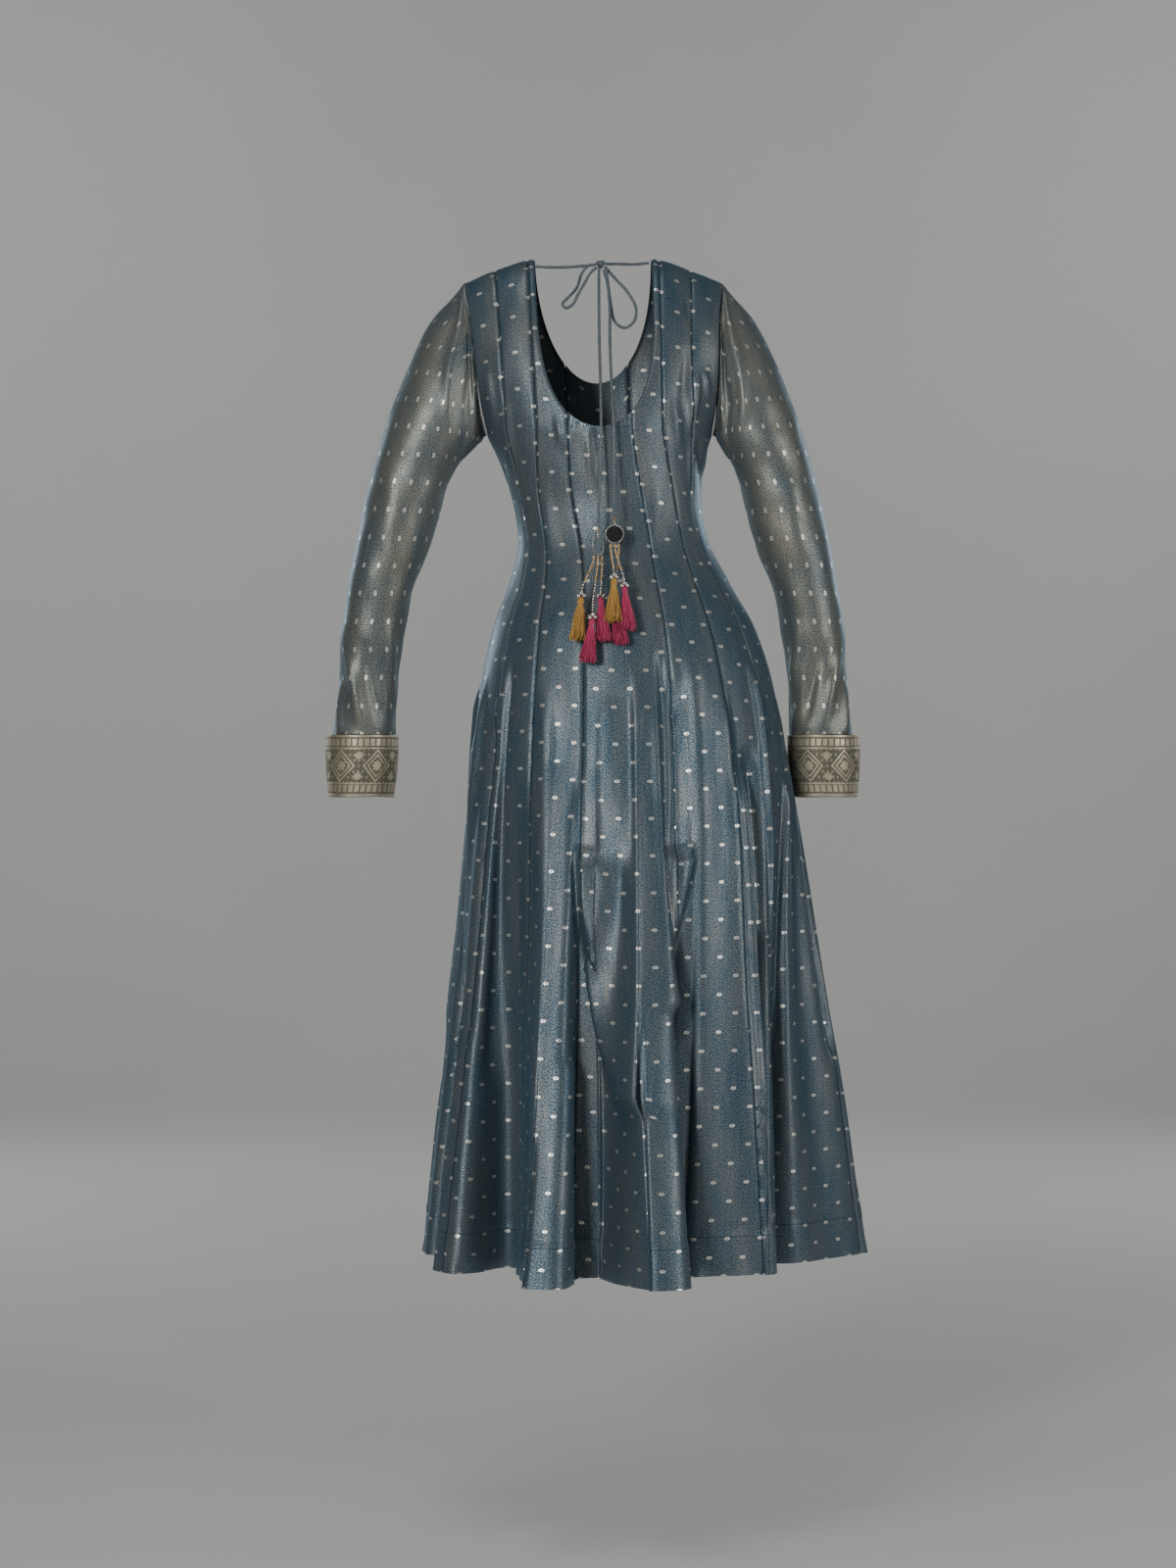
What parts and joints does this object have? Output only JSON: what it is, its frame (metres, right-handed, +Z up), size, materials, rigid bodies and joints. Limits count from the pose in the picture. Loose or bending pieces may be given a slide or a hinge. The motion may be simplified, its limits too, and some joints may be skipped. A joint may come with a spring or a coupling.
{
  "type": "anarkali gown",
  "caption": "Long anarkali gown of panelled cloth with a fluted flared skirt, long sleeves with brocade cuffs, and a deep back neckline closed by a tied cord with beaded tassels.",
  "frame": {"origin": "middle of the neck opening at the height of the shoulders, where the wearer carries the gown", "axes": "+Z up; -Y is the wearer's back and +Y the front; +X is the wearer's right side"},
  "size_m": [0.6554, 0.4833, 1.2043],
  "materials": {
    "gown_cloth": "shot tissue silk, teal with a grey-beige metallic sheen and small silver motifs",
    "cuff_brocade": "metallic zari brocade with lozenges and flowers",
    "dori_cord": "narrow tube sewn from the gown cloth",
    "tassel_mustard": "silk threads",
    "tassel_magenta": "silk threads",
    "beads": "polished metal beads",
    "mirror_glass": "small round mirror in a metal rim"
  },
  "bodies": {
    "root": {"back_centre_kali": "gown_cloth", "back_neck_kali_left": "gown_cloth", "back_neck_kali_right": "gown_cloth", "back_shoulder_kali_left": "gown_cloth", "back_shoulder_kali_right": "gown_cloth", "back_side_kali_left": "gown_cloth", "back_side_kali_right": "gown_cloth", "front_centre_kali": "gown_cloth", "front_neck_kali_left": "gown_cloth", "front_neck_kali_right": "gown_cloth", "front_shoulder_kali_left": "gown_cloth", "front_shoulder_kali_right": "gown_cloth", "front_side_kali_left": "gown_cloth", "front_side_kali_right": "gown_cloth", "sleeve_left": "gown_cloth", "sleeve_right": "gown_cloth", "cuff_left": "cuff_brocade", "cuff_right": "cuff_brocade", "dori_knot": "dori_cord", "dori_band_left": "dori_cord", "dori_band_right": "dori_cord", "dori_loop_left": "dori_cord", "dori_loop_right": "dori_cord", "dori_tail_left": "dori_cord", "dori_tail_right": "dori_cord", "latkan_left_stem": "beads", "latkan_left_mirror": "mirror_glass", "latkan_left_string_1": "beads", "latkan_left_string_2": "beads", "latkan_left_string_3": "beads", "latkan_left_tassel_1": "tassel_mustard", "latkan_left_tassel_2": "tassel_magenta", "latkan_left_tassel_3": "tassel_magenta", "latkan_right_stem": "beads", "latkan_right_mirror": "mirror_glass", "latkan_right_string_1": "beads", "latkan_right_string_2": "beads", "latkan_right_string_3": "beads", "latkan_right_tassel_1": "tassel_mustard", "latkan_right_tassel_2": "tassel_magenta", "latkan_right_tassel_3": "tassel_magenta"}
  },
  "joints": []
}
